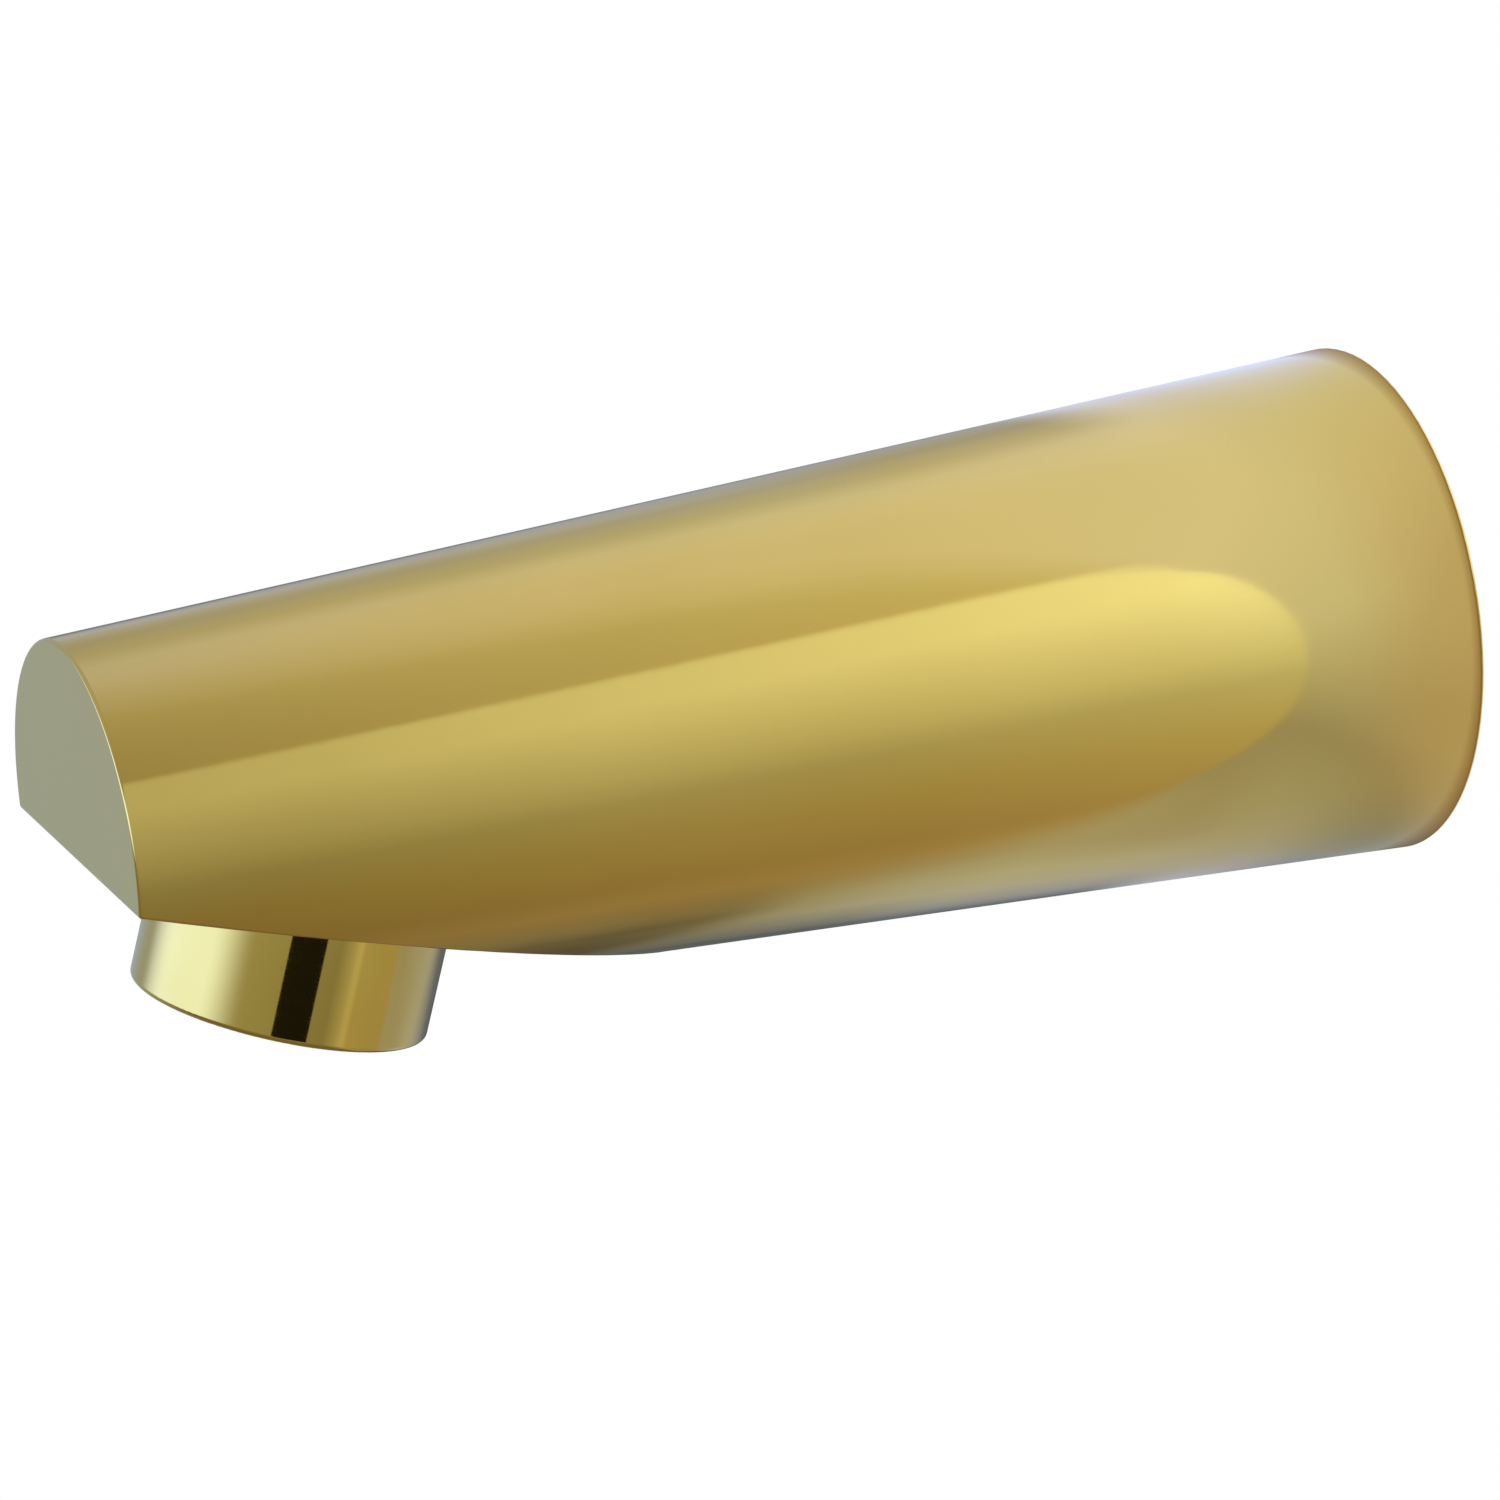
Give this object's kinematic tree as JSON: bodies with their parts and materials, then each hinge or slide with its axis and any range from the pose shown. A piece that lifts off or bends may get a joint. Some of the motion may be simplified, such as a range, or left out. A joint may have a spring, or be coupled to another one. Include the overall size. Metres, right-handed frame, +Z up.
{
  "type": "bath spout",
  "caption": "Tapered bath spout with a flat nose, a sloping underside and a short round outlet; it screws onto a pipe end and sits against the wall.",
  "frame": {"origin": "centre of the wall face, on the axis of the inlet thread", "axes": "+Y out of the spout into the wall, so the spout reaches out along -Y; +Z up; X is square to the mirror plane"},
  "size_m": [0.0524, 0.14, 0.0524],
  "materials": {
    "body_brass": "polished gold-coloured brass under clear lacquer",
    "sleeve_brass": "mirror-polished gold-coloured brass",
    "hub_brass": "plain turned brass",
    "gasket_rubber": "soft closed-cell rubber",
    "washer_rubber": "firm moulded rubber",
    "insert_plastic": "moulded acetal"
  },
  "bodies": {
    "root": {"spout_body": "body_brass", "outlet_sleeve": "sleeve_brass", "inlet_hub": "hub_brass", "hub_seal": "washer_rubber", "inlet_washer": "washer_rubber", "wall_gasket": "gasket_rubber", "outlet_washer": "washer_rubber", "strainer": "insert_plastic", "jet_disc": "insert_plastic", "flow_straightener": "insert_plastic"}
  },
  "joints": []
}
